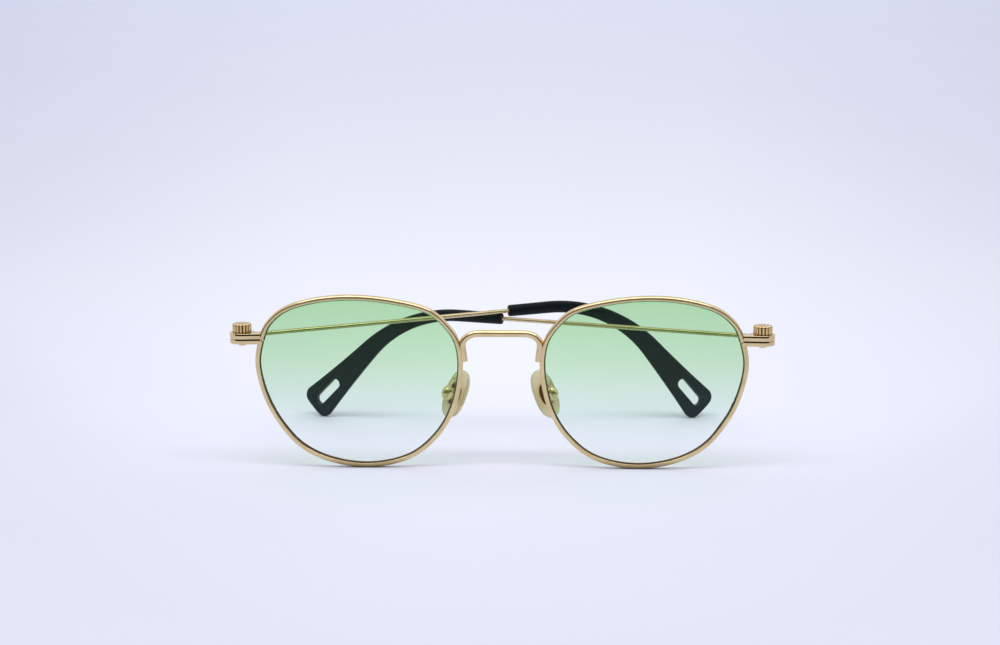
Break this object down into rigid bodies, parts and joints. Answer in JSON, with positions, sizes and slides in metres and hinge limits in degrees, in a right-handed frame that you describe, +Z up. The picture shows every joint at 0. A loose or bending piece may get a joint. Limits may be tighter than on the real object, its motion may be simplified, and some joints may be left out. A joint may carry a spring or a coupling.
{
  "type": "sunglasses",
  "caption": "Round-eye metal sunglasses with tinted lenses, wire temples on knurled hinge screws, slotted temple tips and rocking nose pads.",
  "frame": {"origin": "bottom centre of the overall box, on the surface that the rims and temple tips stand on", "axes": "+X to the right as seen from the front, +Y from the front towards the temple tips, +Z up; the left side is at -X"},
  "size_m": [0.1338, 0.064, 0.0441],
  "materials": {
    "gold_metal": "polished pale gold plating",
    "gold_screw": "polished gold plating on fluted screws",
    "green_lens": "clear glass with a green tint that fades downwards",
    "black_tip": "smooth black moulding, satin gloss",
    "pad_amber": "soft translucent tan silicone"
  },
  "bodies": {
    "front": {"left_rim": "gold_metal", "right_rim": "gold_metal", "bridge": "gold_metal", "left_lens": "green_lens", "right_lens": "green_lens", "left_upper_lug": "gold_metal", "left_lower_lug": "gold_metal", "right_upper_lug": "gold_metal", "right_lower_lug": "gold_metal", "left_hinge_screw": "gold_screw", "right_hinge_screw": "gold_screw", "left_pad_arm": "gold_metal", "right_pad_arm": "gold_metal", "left_pad_screw": "gold_screw", "right_pad_screw": "gold_screw"},
    "left_temple": {"left_temple_leaf": "gold_metal", "left_temple_wire": "gold_metal", "left_temple_tip": "black_tip"},
    "right_temple": {"right_temple_leaf": "gold_metal", "right_temple_wire": "gold_metal", "right_temple_tip": "black_tip"},
    "left_pad": {"left_pad_mount": "gold_metal", "left_nose_pad": "pad_amber"},
    "right_pad": {"right_pad_mount": "gold_metal", "right_nose_pad": "pad_amber"}
  },
  "joints": [
    {"name": "left_temple_hinge", "type": "hinge", "parent": "front", "child": "left_temple", "pos_m": [-0.06393, -0.0274, 0.03225], "axis": [0, 0, 1], "range_deg": [-3, 67]},
    {"name": "right_temple_hinge", "type": "hinge", "parent": "front", "child": "right_temple", "pos_m": [0.06393, -0.0274, 0.03225], "axis": [0, 0, -1], "range_deg": [-20, 66.5], "deforming": ["right_temple_wire"]},
    {"name": "left_pad_rock", "type": "hinge", "parent": "front", "child": "left_pad", "pos_m": [-0.01345, -0.0208, 0.01705], "axis": [0.7761, -0.5638, -0.2825], "range_deg": [-8, 8]},
    {"name": "right_pad_rock", "type": "hinge", "parent": "front", "child": "right_pad", "pos_m": [0.0122, -0.0208, 0.01705], "axis": [0.8334, 0.462, 0.3033], "range_deg": [-8, 8]}
  ]
}
